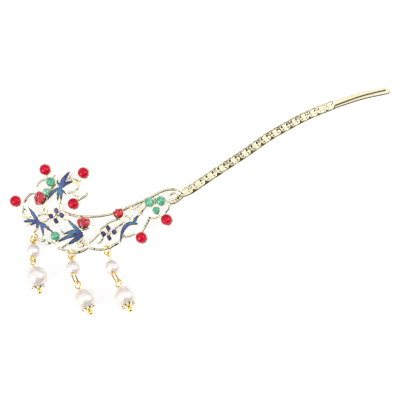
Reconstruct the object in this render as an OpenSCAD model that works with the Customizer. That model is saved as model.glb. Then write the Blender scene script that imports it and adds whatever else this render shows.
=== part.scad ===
// Hairpin lying on its back: an embossed stick, an openwork head of vines and enamel leaves, beads
// on cups and three pearl drops. x runs to the tip, y up the picture, z up from the table.

/* [Stick] */
// Length of the stick from the scroll to the tip, measured along x
stick_reach = 95.1; // [85:0.1:105]
// Width of the stick over the relief
stick_w = 4.1; // [3.8:0.1:4.4]
// Thickness of the stick where it meets the head
stick_t = 3; // [2.6:0.1:3.2]
// Width of the plain end at the tip
tip_w = 3.1; // [2.7:0.1:3.4]
// Thickness of the plain end at the tip
tip_t = 1.6; // [1.2:0.1:2]
// Number of scroll motifs along the stick
motifs = 15; // [12:1:17]

/* [Head] */
// Height of the middle of the openwork above the table
plate_z = 2.3; // [2.2:0.1:2.5]
// Diameter of the two rails
rail_d = 1.2; // [1:0.1:1.3]
// Diameter of the vines
vine_d = 1; // [0.8:0.1:1.2]
// Diameter of the fine tendrils
tendril_d = 0.8; // [0.7:0.1:1]
// Thickness of the cells that hold the enamel
cell_t = 1.3; // [1:0.1:1.6]
// Width of the gold edge round the enamel
cell_rim = 0.25; // [0.2:0.05:0.4]
// Depth of the enamel in its cell
enamel_t = 0.7; // [0.4:0.1:0.8]
// Clearance between a set piece and its seat
fit = 0.05; // [0.03:0.01:0.1]

/* [Beads] */
// Diameter of the red beads
red_d = 5; // [4.5:0.1:5.2]
// Diameter of the large green beads
green_d = 4.1; // [3.6:0.1:4.3]
// Diameter of the small green beads
green_small_d = 3.2; // [2.8:0.1:3.5]
// Wall of the cups under the beads
cup_wall = 0.4; // [0.3:0.05:0.5]
// Diameter of the pegs in the beads
peg_d = 0.9; // [0.7:0.1:1.1]

/* [Drops] */
// Diameter of the small pearls
small_pearl_d = 7; // [6.8:0.1:7.1]
// Diameter of the large pearls
large_pearl_d = 10; // [9.6:0.1:10.2]
// Wire of the pins and rings
wire_d = 0.7; // [0.6:0.05:0.75]
// Outer diameter of the jump rings
jump_ring_d = 4.6; // [4.5:0.1:4.9]
// Outer diameter of the eyes next to the jump rings
eye_d = 2.6; // [2.6:0.1:2.8]
// Outer diameter of the loop over the first large pearl
first_loop_d = 3.6; // [3.5:0.1:3.7]
// Outer diameter of the loops over the other large pearls
pin_loop_d = 4; // [3.9:0.1:4.1]
// Outer width of the oblong loops under the small pearls
oblong_w = 2.6; // [2.6:0.1:2.8]
// Diameter of the petalled bead caps
cap_d = 7.2; // [6.4:0.1:7.6]
// Number of petals of a bead cap
cap_petals = 10; // [8:1:11]
// Diameter of the balls at the ends of the pins
ball_d = 2.4; // [1.9:0.1:2.5]

/* [Hidden] */

gold = "#e8cf8c";
rich_gold = "#d9a441";
navy = "#26327f";
violet = "#2a1e5c";
red = "#c4101e";
jade = "#3fa07f";
pearl = "#f4efe9";

// How finely wires are drawn
ring_pitch = 2.2;
wire_sides = 6;
vine_sides = 5;
far = 400;

// Where the beads sit on the plan, with the stalk's side away from the cup's slip
red_beads = [[-83.2, 0.2], [-69.9, 14.3], [-52.7, 12.9], [-57.2, -1], [-15.3, -8.2], [-26.6, -16.3]];
green_beads = [
    [-67.4, 8.8, green_d], [-69.3, 4.3, green_small_d], [-65.4, -15.6, green_d],
    [-23.1, -0.4, green_d], [-17.9, 0.3, green_d], [-20, -4, green_small_d]
];
// Beads lean a little on their cups, so each cup shows at the lower right
cup_lean = 16;
cup_lean_way = -50;
cup_rim_drop = 0.58;
cup_rim_rise = 0.2;

// Roses: the base of each, the way its bloom faces, its size against the first
roses = [[-69.6, 0.9, 170, 0.98], [-52.4, -12.2, 93, 0.95], [-36, -7.3, 115, 0.8]];

// Leaf sprays: each leaf is the points of its spine from the hub, then its enamel's width
spray_a_leaves = [
    [[[-63.3, 5.6], [-61.8, 9.2], [-59, 13.2]], 1.8],
    [[[-62.9, 5.8], [-60.4, 8.1], [-57.3, 8.9]], 1.3],
    [[[-63.2, 6.2], [-63.9, 8], [-64.4, 9.4]], 1.1],
    [[[-62.7, 6], [-66, 4.5], [-68.8, 0.8]], 1.2],
    [[[-63.2, 6], [-64, 3.2], [-64.3, 0.6]], 1.2],
    [[[-63, 6], [-62.6, 3], [-62.8, 0.4]], 1.2],
    [[[-63, 6.2], [-61.8, 4.6], [-60.4, 3.3]], 1]
];
spray_b_leaves = [
    [[[-72.4, -9.8], [-74.6, -6.7], [-77.3, -2.6]], 1.8],
    [[[-72.8, -9.2], [-76, -8.8], [-79.4, -9]], 1.3],
    [[[-73, -9], [-74.8, -9.7], [-76.5, -10.7]], 1],
    [[[-73, -9.2], [-73.4, -10.9], [-73.2, -12.3]], 1.2],
    [[[-72.8, -9.2], [-71.2, -12], [-70.8, -15.6]], 1.4],
    [[[-73.4, -9.2], [-70, -11], [-66.7, -13.6]], 1.4]
];
spray_c_leaves = [
    [[[-52.9, -14.6], [-56.1, -12], [-59.8, -8.3]], 1.65],
    [[[-52.9, -14.6], [-57.2, -13.7], [-61.3, -14.6]], 1.6],
    [[[-54.6, -15.2], [-59.4, -15.8], [-63.8, -18.1]], 1.4],
    [[[-52.7, -14.8], [-55.6, -16.8], [-59.4, -19.3]], 1.8]
];
spray_d_leaves = [
    [[[-28.3, -10.1], [-31.6, -9.9], [-33.8, -11.4], [-35.2, -14], [-36.1, -18.6]], 1.4],
    [[[-29.9, -10], [-29.3, -8], [-27.9, -6.4]], 1.1]
];
leaf_steps = 1.9;
leaf_tip_w = 0.2;
// Where on its swell a leaf starts at the hub
leaf_start = 0.15;
// Power of the swell: the higher it is, the more pointed the leaf
leaf_point = 1.1;

// Flowers: centre, then each petal's offset from it and the way it points
flowers = [
    [[-64.7, -6.7], [[-0.1, 2.4, 92], [2.3, 0.5, 28], [-0.3, -2, 268], [-2.5, 0, 175]]],
    [[-41.1, -14.4], [[-0.4, 2.4, 100], [2.3, 0.6, 32], [0.1, -1.9, 275], [-2.6, -0.2, 170]]]
];
petal_w = 1.95;
petal_l = 2.3;
flower_ball_d = 1.9;

// Rails and the scroll at the end of the stick
top_rail = [
    [-9.2, 3.6], [-10.4, 4.9], [-12.7, 5.4], [-15.9, 5], [-18.2, 4], [-21.8, 2.2], [-26, 0.1],
    [-31.5, -2.3], [-36, -4.5], [-40, -5.7], [-45, -6.6], [-50, -6.9], [-54, -6.8], [-58, -6.1],
    [-60.6, -5.2], [-62.6, -4.2]
];
low_rail_left = [
    [-76.6, -10.4], [-77.7, -11], [-77, -12.8], [-75.6, -14.5], [-74.8, -16.6], [-73, -16.9],
    [-71.2, -17.8], [-69.9, -17.6], [-68.5, -18.9], [-66.9, -18.6], [-65.4, -19.7], [-64, -21],
    [-62.2, -21.6], [-60.4, -22], [-58.6, -23], [-56.7, -23.2], [-54.5, -22.8], [-52.3, -22],
    [-50.6, -20.6], [-50.1, -18.7]
];
low_rail_right = [
    [-52.6, -19.4], [-51.3, -20.3], [-49.6, -21], [-47.4, -21.5], [-45, -21.7], [-42.8, -21.4],
    [-40.7, -20.8], [-39.2, -19.9], [-37.2, -18.9], [-36.1, -17.9]
];
scroll_low = [[-7.6, 2.4], [-9.5, 0.8], [-11.5, -0.6], [-13.7, -0.8], [-15.6, -0.2]];
scroll_curl = [[-9.8, 4.2], [-9.4, 2.9], [-10.2, 1.6], [-11.4, 0.9]];
scroll_ring = [-12.3, 2];
scroll_ring_r = 1.5;

vines = [
    // Round the second flower
    [[-52.6, -19.4], [-50.1, -18.7], [-48.6, -17.5], [-46.9, -15.8], [-45.5, -14.3], [-45, -12.5],
        [-43.3, -11.1], [-42, -10], [-39.7, -8.8], [-37, -8], [-35.2, -7.8]],
    [[-38.8, -12.4], [-37, -11.1], [-35.2, -10], [-34.4, -8]],
    [[-41, -17.4], [-40.6, -18.6], [-40.7, -20.6]],
    // Between the third rose and the curved leaf
    [[-36, -7.2], [-35.1, -7.9], [-34.6, -9.4], [-33.9, -11]],
    [[-34.9, -5.8], [-33, -6.8], [-30.7, -8.2], [-30, -9.4]],
    [[-30.9, -2.2], [-30.8, -5.6], [-30.6, -8.2]],
    [[-27.8, -6.3], [-26.7, -5.6], [-26.2, -4.3], [-25.3, -3], [-23.8, -1.2]],
    // Stalks of the two lower red beads
    [[-28.2, -10.1], [-27.7, -11], [-27.1, -13.4], [-26.6, -15.8]],
    [[-26.9, -15.2], [-25.3, -12], [-24, -10], [-23.2, -8.3], [-23.2, -7.2], [-21.7, -7.6],
        [-20.3, -7.5], [-18.4, -6.8], [-19.6, -5.6]],
    [[-35.6, -15.6], [-33.2, -15.8], [-31.5, -15.5], [-29.4, -14.6], [-27.2, -16]],
    [[-13.6, -0.9], [-14.4, -3.4], [-15.8, -5.4], [-15.4, -7.4]],
    [[-18.4, -6.8], [-16.2, -7.7]],
    // Stems among the three green beads by the scroll
    [[-20.4, 2.9], [-20.6, 0.2], [-20.1, -3.2]],
    [[-17.2, 0.3], [-15.2, -0.2], [-13.8, -0.8]],
    [[-18, 3.8], [-18, 1]],
    // First rose, its double stem and the outer arcs
    [[-71.2, 0.2], [-70.4, -2.5], [-69.4, -5.6], [-67.6, -6.4]],
    [[-69.8, 0.2], [-69, -2.5], [-67.9, -5.2], [-66.9, -6.4]],
    [[-74.4, 3.2], [-75.9, 3.4], [-77.6, 2], [-79, -0.4]],
    [[-72.6, 3.9], [-73.3, 5.8], [-73.2, 7.6], [-71.8, 9.2], [-69.9, 9.9], [-68.6, 10.2]],
    [[-69.9, 9.9], [-69, 11.4], [-69.6, 13.6]],
    // Stalk of the first red bead and its foot
    [[-82.4, 0], [-79.6, -0.7], [-79.5, -3.8], [-79.7, -7.2]],
    [[-79.7, -7.2], [-77.7, -7.3], [-76, -6.4]],
    // Behind the two green beads at the top left
    [[-65.8, 9.6], [-64.8, 8.2], [-66.2, 6.6], [-67.6, 4.9], [-68.6, 2.8], [-69.8, 1]],
    // From the top spray to the first flower and the rail
    [[-62.8, 0.8], [-62.9, -2.6], [-62.7, -4.6], [-63.9, -4.6]],
    // Beads at the upper right of the head
    [[-52.9, 12.2], [-53.3, 9.6], [-51.7, 7.3], [-50.8, 5.5], [-50.8, 3.9], [-51.5, 2.4], [-53.3, 1.4],
        [-56.4, -0.4]],
    [[-57.5, 8.9], [-55.4, 8.4], [-53.4, 9.4]],
    [[-55.4, 8.4], [-54.9, 6.2], [-55.9, 4.8], [-55.8, 3.6], [-54.7, 2.2], [-54.6, 0.9], [-56, -0.6]],
    [[-60.5, 3.3], [-59.1, 3.9], [-57.5, 4.1], [-55.9, 4.6]],
    // First flower to the sprays round it
    [[-62.6, -6.9], [-61, -7.8], [-59.5, -8.8]],
    [[-64.9, -9.2], [-63.2, -10.6], [-62.3, -12.4], [-61.9, -14.4]],
    [[-74, -7.6], [-72.2, -6.2], [-70.6, -5.6], [-69.4, -5.8]],
    [[-72, -8.6], [-69.6, -8.9], [-68, -7.6]],
    // Stems down to the lower rail
    [[-73.5, -12], [-74.1, -13.2], [-75.3, -14.6]],
    [[-70.8, -15.2], [-70.5, -16.6], [-70, -17.6]],
    [[-67.2, -13], [-66, -15]],
    [[-65.3, -16.2], [-64.4, -19], [-64.2, -20.8]],
    [[-59.5, -19], [-61, -20], [-62.6, -21.2]],
    [[-57.6, -18], [-56.4, -18.9], [-54.9, -18.4], [-54.4, -19.6], [-52.6, -19.8]],
    [[-53.2, -15.4], [-51.5, -16.6], [-50.1, -18.5]],
    [[-52.5, -12.4], [-53, -14.2]]
];

// Plain gold leaves: spine and width
gold_leaves = [
    [[[-58.8, 8.9], [-56, 8.6], [-53.8, 6.8]], 1.9],
    [[[-60.6, 9.6], [-59.2, 11], [-57.8, 11.6]], 1.1],
    [[[-70.7, -1.4], [-70.3, -4], [-69.2, -5.8]], 1.7],
    [[[-78.9, -3.4], [-78.1, -5.2], [-76.8, -7]], 1.3],
    [[[-51.8, -16.8], [-53.6, -18.4], [-54.6, -20.6]], 1.5],
    [[[-56.6, -18.6], [-55, -20], [-52.6, -20.4]], 1.2],
    [[[-35.2, -6.4], [-34.6, -9], [-36.8, -10.6]], 1.5],
    [[[-31, -2.6], [-31.6, -4.4], [-30.8, -6.4]], 1.2],
    [[[-24.4, -2.4], [-26.4, -3.4], [-27.4, -5.6]], 1.3]
];

tendrils = [
    [[-66.8, 9.8], [-65.4, 11.8]],
    [[-64.3, 1], [-64.4, -0.5]],
    [[-60.4, 9.6], [-59.1, 10.5], [-57.5, 10.1], [-55.2, 9.2], [-54.9, 8.6]],
    [[-57.2, 3.9], [-57.1, 3], [-55.7, 2.2]],
    [[-46.4, -19], [-44.7, -18.2], [-43.6, -15.8]],
    [[-49.4, -10.2], [-47.6, -11.6], [-46, -14.4]],
    [[-30.4, -3.7], [-28.2, -2.5], [-26.2, -0.6]],
    [[-27.9, -4], [-27.6, -5.4], [-26.9, -5.8]]
];

// The stick's middle line starts at the scroll. Its plan gives the bends for a reach of plan_reach.
stick_start = [-9.6, 2.4];
plan_reach = 95.1;
stick_plan = [
    [0, 0], [5.8, 3.3], [11.9, 7.4], [21.9, 14.1], [30.3, 19.6], [40.3, 26.6], [49.2, 31.7],
    [57.3, 36], [67, 40], [70.1, 41.2], [82.6, 45.1], [95.1, 47.7]
];
stick_points = [for (p = stick_plan) stick_start + p * stick_reach / plan_reach];
relief_share = 0.755;
// How much longer than the mean the first motif is, and how much shorter the last
motif_slowing = 0.3;
// The stick starts narrower under the scroll, and the plain end steps in and down from the relief
root_share = 0.6;
root_grow = 0.1;
plain_in = 0.5;
plain_down = 0.2;
step_len = 0.4;
tip_round = 0.6;
tip_low = 0.15;
// The pits of the scrollwork: round eyes in the upper half, notches with a slit above in the lower
pit_depth = 0.8;
eye_pit = [0.24, 0.17, 0.5];
notch_base = 1.9;
slit_w = 0.3;
bar_pitch = 6;

// Drops: place on the rail, small pearl, its pin's heading, top of the large pearl's pin, its heading
// and rise, plan distance from the rail to the eye, then the turns of the jump ring, the eye, the
// oblong loop and the pin's loop about their own length, how far along the pin's loop the oblong one
// hangs in it, as a share, and the pin's loop
drops = [
    [[-74.9, -16.5], [-75.4, -22.5], -92, [-74.77, -28.3], -79, 0, 1.8, [42, -45, 35, 38], 0.5, first_loop_d],
    [[-57.9, -23.1], [-57.5, -30.1], -82, [-54.52, -38.94], -65, 12, 2.5, [42, -45, 35, 40], 0.74, pin_loop_d],
    [[-42.3, -21.35], [-39.7, -29.7], -78, [-36.21, -37.96], -66, 22, 2.55, [42, -45, 35, 35], 0.74, pin_loop_d]
];

// Points and curves
function unit(v) = v / norm(v);
function left_of(v) = [-v.y, v.x];
function blend(a, b, t) = a + (b - a) * t;
function curve_point(a, b, c, d, t) =
    (2 * b + (c - a) * t + (2 * a - 5 * b + 4 * c - d) * t * t + (3 * b - a - 3 * c + d) * t * t * t) / 2;
function smooth(p, pitch) = [
    for (i = [0 : len(p) - 2])
        let (n = max(1, ceil(norm(p[i + 1] - p[i]) / pitch)))
            for (k = [0 : n - 1])
                curve_point(p[max(i - 1, 0)], p[i], p[i + 1], p[min(i + 2, len(p) - 1)], k / n),
    p[len(p) - 1]
];
function heading_at(p, i) = unit(p[min(i + 1, len(p) - 1)] - p[max(i - 1, 0)]);
function run(p, i) = i == 0 ? 0 : run(p, i - 1) + norm(p[i] - p[i - 1]);

// Skin over a row of sections that have equally many points
module skin(sections) {
    n = len(sections[0]);
    m = len(sections);
    polyhedron(
        points = [for (s = sections) for (p = s) p],
        faces = concat(
            [[for (k = [0 : n - 1]) k]],
            [for (i = [0 : m - 2]) for (k = [0 : n - 1])
                [i * n + k, (i + 1) * n + k, (i + 1) * n + (k + 1) % n, i * n + (k + 1) % n]],
            [[for (k = [n - 1 : -1 : 0]) (m - 1) * n + k]]
        ),
        convexity = 8
    );
}

// A round wire along a flat route, its ends sunk a little into what it meets
module wire(route, d, z, pitch = ring_pitch, sides = wire_sides) {
    p = smooth(route, pitch);
    last = len(p) - 1;
    function section(i, r, slip) =
        let (h = heading_at(p, i), c = p[i] + h * slip, n = left_of(h))
            [for (k = [0 : sides - 1])
                let (a = 360 * (k + 0.5) / sides)
                    [c.x + n.x * r * cos(a), c.y + n.y * r * cos(a), z + r * sin(a)]];
    skin(concat(
        [section(0, d * 0.4, -d * 0.3)],
        [for (i = [1 : last - 1]) section(i, d / 2, 0)],
        [section(last, d * 0.4, d * 0.3)]
    ));
}

// Leaf outlines
function leaf_half(t, w) = max(leaf_tip_w / 2, w / 2 * pow(sin(180 * blend(leaf_start, 1, t)), leaf_point));
function leaf_outline(spine, w) =
    let (p = smooth(spine, norm(spine[1] - spine[0]) / leaf_steps), last = len(p) - 1)
        concat(
            [for (i = [0 : last]) p[i] + left_of(heading_at(p, i)) * leaf_half(i / last, w)],
            [for (i = [last : -1 : 0]) p[i] - left_of(heading_at(p, i)) * leaf_half(i / last, w)]
        );
module spray_plan(leaves) {
    for (leaf = leaves) polygon(leaf_outline(leaf[0], leaf[1]));
}
module petal_plan(flower) {
    for (petal = flower[1])
        translate([flower[0].x + petal[0], flower[0].y + petal[1]]) rotate(petal[2])
            scale([petal_l / petal_w, 1]) circle(d = petal_w, $fn = 10);
}

gold_leaf_t = 1.2;
cell_floor = plate_z + cell_t / 2 - enamel_t;
cell_top = plate_z + cell_t / 2;

// A gold cell is a plate with a hollow above its floor, so that a rim stands round the enamel
module cell_plate() {
    translate([0, 0, plate_z - cell_t / 2])
        linear_extrude(cell_t) offset(delta = cell_rim + fit) children();
}
module cell_hollow() {
    translate([0, 0, cell_floor]) linear_extrude(cell_t) offset(delta = fit) children();
}
module enamel(rise) {
    translate([0, 0, cell_floor + fit]) linear_extrude(enamel_t - fit + rise) children();
}

// Cups, pegs and beads share the middle of their bead. A cup is a cone that holds the bead on a
// ring half way down, with a flat floor under it.
cup_sides = 10;
seat_slope = 45;
function seat_r(d) = (d / 2 + fit) / cos(180 / cup_sides);
function floor_z(d) = -d / 2 - fit;
function cone_r(d, z) = seat_r(d) / sin(seat_slope) + z;
function rim_z(d) = -cup_rim_drop * d / 2;
function bead_z(d) = plate_z + cup_rim_rise - rim_z(d);
module on_cup(place, d) {
    translate([place.x, place.y, bead_z(d)])
        rotate([0, 0, cup_lean_way]) rotate([0, -cup_lean, 0]) children();
}
module cup_body(d) {
    low = floor_z(d) - cup_wall;
    translate([0, 0, low])
        cylinder(r1 = cone_r(d, low) + cup_wall, r2 = cone_r(d, rim_z(d)) + cup_wall,
            h = rim_z(d) - low, $fn = cup_sides);
}
module cup_hollow(d) {
    wide_z = seat_r(d) * (1 - 1 / sin(seat_slope));
    rotate_extrude($fn = cup_sides) polygon([
        [0, floor_z(d)], [cone_r(d, floor_z(d)), floor_z(d)], [seat_r(d), wide_z], [seat_r(d), d], [0, d]
    ]);
}
module peg(d) {
    translate([0, 0, floor_z(d) - cup_wall / 2]) cylinder(d = peg_d, h = d / 2, $fn = 6);
}
// The peg's riveted end under the cup stands on the table
module foot(place, d) {
    down = [cos(cup_lean_way), sin(cup_lean_way)] * sin(cup_lean) * d / 2;
    translate([place.x + down.x, place.y + down.y, 0])
        cylinder(d = 2 * peg_d, h = bead_z(d) + floor_z(d) - cup_wall / 2, $fn = 5);
}
module bead(d) {
    difference() {
        sphere(d = d);
        translate([0, 0, -d]) cylinder(d = peg_d + 2 * fit, h = d + fit);
    }
}

all_beads = concat([for (b = red_beads) [b.x, b.y, red_d]], green_beads);
sprays = [spray_a_leaves, spray_b_leaves, spray_c_leaves, spray_d_leaves];

// Stick
stick_line = smooth(stick_points, 2.2);
stick_last = len(stick_line) - 1;
stick_runs = [for (i = [0 : stick_last]) run(stick_line, i)];
stick_len = stick_runs[stick_last];
relief_len = stick_len * relief_share;
motif_len = relief_len / motifs;
// Where motif m starts: the motifs are longest by the head and shorten towards the tip
function motif_at(m) = relief_len * ((1 + motif_slowing) * m / motifs - motif_slowing * pow(m / motifs, 2));
stick_x = [for (i = [0 : stick_last]) [stick_runs[i], stick_line[i].x]];
stick_y = [for (i = [0 : stick_last]) [stick_runs[i], stick_line[i].y]];
function stick_at(s) = [lookup(s, stick_x), lookup(s, stick_y)];
function stick_side(s) = left_of(unit(stick_at(min(s + 0.5, stick_len)) - stick_at(max(s - 0.5, 0))));
function on_stick(s, side) = stick_at(s) + stick_side(s) * side;
function stick_heading(s) = let (n = stick_side(s)) atan2(-n.x, n.y);
function stick_width(s) = s < relief_len ? stick_w * min(1, root_share + s * root_grow)
    : blend(stick_w - plain_in, tip_w, (s - relief_len) / (stick_len - relief_len));
function stick_top(s) = blend(stick_t, tip_t, s / stick_len) - (s < relief_len ? 0 : plain_down);
// Section of the bar: a flat back and a bevelled front, as shares of its width and thickness
bar_section = [[-0.3, 0], [-0.5, 0.4], [-0.5, 0.75], [-0.3, 1], [0.3, 1], [0.5, 0.75], [0.5, 0.4], [0.3, 0]];
module stick_bar() {
    steps = concat([for (s = [0 : bar_pitch : relief_len - 1]) s],
        [relief_len - step_len / 2, relief_len + step_len / 2],
        [for (s = [relief_len + bar_pitch : bar_pitch : stick_len - tip_w]) s], [stick_len - tip_round]);
    skin(concat(
        [for (s = steps) [for (q = bar_section)
            let (p = on_stick(s, -q.x * stick_width(s))) [p.x, p.y, q.y * stick_top(s)]]],
        [[for (q = bar_section)
            let (p = on_stick(stick_len, -q.x * tip_w * tip_round))
                [p.x, p.y, (tip_low + tip_round * q.y) * tip_t]]]
    ));
}
module stick_pit(s, side) {
    p = on_stick(s, side * stick_w);
    translate([p.x, p.y, stick_top(s) - pit_depth]) rotate(stick_heading(s))
        linear_extrude(stick_t) children();
}
module stick_pits() {
    for (m = [0 : motifs - 1]) {
        mid = motif_at(m + 0.5);
        for (way = [-1, 1]) stick_pit(mid + way * eye_pit[0] * motif_len, eye_pit[1]) circle(r = eye_pit[2], $fn = 6);
    }
    for (m = [1 : motifs])
        stick_pit(motif_at(m), 0) {
            polygon([[-notch_base / 2, -0.4 * stick_w], [notch_base / 2, -0.4 * stick_w], [0, -0.05 * stick_w]]);
            translate([-slit_w / 2, 0]) square([slit_w, 0.36 * stick_w]);
        }
}

// Roses in their own frame: base at the origin, bloom along x. Each petal: reach, turn, half width.
rose_back_petals = [[3.7, 34, 1.3], [4.2, 11, 1.3], [4.2, -11, 1.3], [3.7, -34, 1.3]];
rose_mid_petals = [[2.9, 24, 1.2], [3.1, -4, 1.2], [2.8, -28, 1.2]];
rose_front_petals = [[1.7, 14, 1], [1.6, -16, 1]];
petal_step = 0.07;
rose_seat = plate_z + rail_d / 2 + 0.05;
// Heights over the seat at which the rows start and end, and a petal's dome over its edge
rose_rows = [[fit, 0.35], [0.2, 0.95], [0.3, 1.5]];
petal_edge_t = 0.3;
petal_dome_t = 0.85;
petal_dome_share = 0.55;
petal_root = [0.4, 0.5];
// Sepals at the foot of the bloom
sepal_r = 0.55;
sepal_reach = 1.5;
sepal_spread = 2.2;
backing_share = 0.9;
module at_rose(rose) {
    translate([rose.x, rose.y, 0]) rotate(rose[2]) scale([rose[3], rose[3], 1]) children();
}
// Domed petals, each set a hair higher than the one before
module rose_petals(row, low, z) {
    for (i = [0 : len(row) - 1])
        rotate(row[i][1]) hull() {
            translate([petal_root[0], 0, low + petal_step * i]) cylinder(r = petal_root[1], h = z - low, $fn = 5);
            translate([row[i][0], 0, low + petal_step * i]) {
                cylinder(r = row[i][2], h = z - low + petal_edge_t, $fn = 8);
                cylinder(r = row[i][2] * petal_dome_share, h = z - low + petal_dome_t, $fn = 5);
            }
        }
}
module rose(i) {
    rows = [rose_back_petals, rose_mid_petals, rose_front_petals];
    color(red) at_rose(roses[i]) union() {
        for (k = [0 : 2]) rose_petals(rows[k], rose_seat + rose_rows[k][0], rose_seat + rose_rows[k][1]);
    }
}
module rose_backing(rose) {
    at_rose(rose) {
        translate([0, 0, plate_z - 0.5]) linear_extrude(rose_seat - plate_z + 0.5)
            hull() for (petal = rose_back_petals)
                rotate(petal[1]) translate([petal[0] * backing_share, 0]) circle(r = 1, $fn = 6);
        for (turn = [-80, 0, 80])
            hull() {
                translate([-sepal_r, 0, plate_z]) sphere(r = sepal_r, $fn = 5);
                translate([sepal_reach * cos(turn), sepal_spread * sin(turn), plate_z])
                    sphere(r = sepal_r, $fn = 5);
            }
    }
}

module hairpin_frame() {
    color(gold) {
        difference() {
            union() {
                for (route = [top_rail, low_rail_left, low_rail_right, scroll_low])
                    wire(route, rail_d, plate_z);
                wire(scroll_curl, vine_d, plate_z + 0.4);
                for (route = vines) wire(route, vine_d, plate_z, ring_pitch, vine_sides);
                for (route = tendrils) wire(route, tendril_d, plate_z, ring_pitch, vine_sides);
                translate([scroll_ring.x, scroll_ring.y, plate_z])
                    rotate_extrude($fn = 12) translate([scroll_ring_r, 0]) circle(d = vine_d, $fn = 5);
                for (leaves = sprays) cell_plate() spray_plan(leaves);
                translate([0, 0, plate_z - gold_leaf_t / 2]) linear_extrude(gold_leaf_t)
                    spray_plan(gold_leaves);
                for (flower = flowers) {
                    cell_plate() petal_plan(flower);
                    translate([flower[0].x, flower[0].y, plate_z]) sphere(d = flower_ball_d, $fn = 6);
                }
                for (b = all_beads) {
                    on_cup(b, b.z) cup_body(b.z);
                    foot(b, b.z);
                }
                for (rose = roses) rose_backing(rose);
                stick_bar();
            }
            stick_pits();
            for (b = all_beads) on_cup(b, b.z) cup_hollow(b.z);
            for (leaves = sprays) cell_hollow() spray_plan(leaves);
            for (flower = flowers) cell_hollow() petal_plan(flower);
        }
        for (b = all_beads) on_cup(b, b.z) peg(b.z);
    }
}

module spray(leaves) {
    color(navy) enamel(0.1) spray_plan(leaves);
}
module flower_enamel(i) {
    color(violet) enamel(0.15) petal_plan(flowers[i]);
}
module red_bead(i) {
    color(red) on_cup(red_beads[i], red_d) bead(red_d);
}
module green_bead(i) {
    color(jade) on_cup(green_beads[i], green_beads[i].z) bead(green_beads[i].z);
}

// Drops: every ring and pin is drawn along x and then turned
bore_d = wire_d + 0.3;
joint_more = 0.1;
rod_past = 0.25;
pin_d = wire_d - 0.06;
neck_less = 0.04;
small_r = small_pearl_d / 2;
large_r = large_pearl_d / 2;
small_pin_half = small_r + 0.7;
small_pin_low = small_r + 0.45;
small_pin_rise = 53;
eye_r = (eye_d - wire_d) / 2;
jump_r = (jump_ring_d - wire_d) / 2;
oblong_r = (oblong_w - wire_d) / 2;
small_pearl_z = small_r + 0.1;
eye_z = 1.2;
// How far a pin stands out of its large pearl before its loop, and the ball's gap to the cap
pin_out = 0.65;
ball_gap = 0.15;
// The caps are cut from a bowl a little wider than the pearl
cap_bend = 9;
cap_t = 0.4;
cap_lift = 0.1;
cap_deep = 2;
cap_slit_w = 0.3;
cap_whole_share = 0.68;
cap_slit_share = 0.38;
petal_fill = 0.8;

module aim(point, heading, rise, roll) {
    translate(point) rotate([0, 0, heading]) rotate([0, -rise, 0]) rotate([roll, 0, 0]) children();
}
// A round ring in the xy plane that starts at the origin and reaches along x
module loop(r) {
    translate([r, 0, 0]) rotate_extrude() translate([r, 0]) circle(d = wire_d);
}
// The same with straight sides between two half rounds
module oblong(r, length) {
    straight = length - 2 * r;
    translate([r, 0, 0]) rotate_extrude(angle = 180, start = 90) translate([r, 0]) circle(d = wire_d);
    translate([r + straight, 0, 0])
        rotate_extrude(angle = 180, start = -90) translate([r, 0]) circle(d = wire_d);
    for (side = [-1, 1])
        translate([r - joint_more, side * r, 0]) rotate([0, 90, 0])
            cylinder(d = wire_d + joint_more / 2, h = straight + 2 * joint_more);
}
// A straight piece of wire that runs a little past both points, into what it is soldered to
module rod(a, b, d = pin_d) {
    v = b - a;
    translate(a) rotate([0, acos(v.z / norm(v)), atan2(v.y, v.x)])
        translate([0, 0, -rod_past]) cylinder(d = d, h = norm(v) + 2 * rod_past);
}
function along(heading, rise) = [cos(heading) * cos(rise), sin(heading) * cos(rise), sin(rise)];

// Each drop's points, from the rail to the ball
function rail_place(d) = [d[0].x, d[0].y, plate_z];
function small_place(d) = [d[1].x, d[1].y, small_pearl_z];
function small_axis(d) = along(d[2], small_pin_rise);
function large_axis(d) = along(d[4], d[5]);
function large_reach(d) = large_axis(d) * (large_r + pin_out);
function large_place(d) = [d[3].x + large_reach(d).x, d[3].y + large_reach(d).y, large_r];
function small_top(d) = small_place(d) - small_axis(d) * small_pin_low;
function small_end(d) = small_place(d) + small_axis(d) * small_pin_half;
function large_top(d) = large_place(d) - large_reach(d);
function ball_place(d) = large_place(d) + large_axis(d) * (large_r + cap_t + ball_d / 2 + ball_gap);
function to_rail(d) = let (v = rail_place(d) - small_top(d)) atan2(v.y, v.x);
// The eye's middle, where the jump ring's wire passes through, and the ring's rise from it
function eye_place(d) = rail_place(d) - along(to_rail(d), 0) * d[6] - [0, 0, plate_z - eye_z];
function ring_rise(d) = atan((plate_z - eye_z) / d[6]);
function chain_way(d) = unit(small_end(d) - large_top(d));
// Where the oblong loop's far end lies inside the pin's loop
function pin_loop_r(d) = (d[9] - wire_d) / 2;
function oblong_end(d) = large_top(d) + chain_way(d) * 2 * pin_loop_r(d) * d[8];

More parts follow.
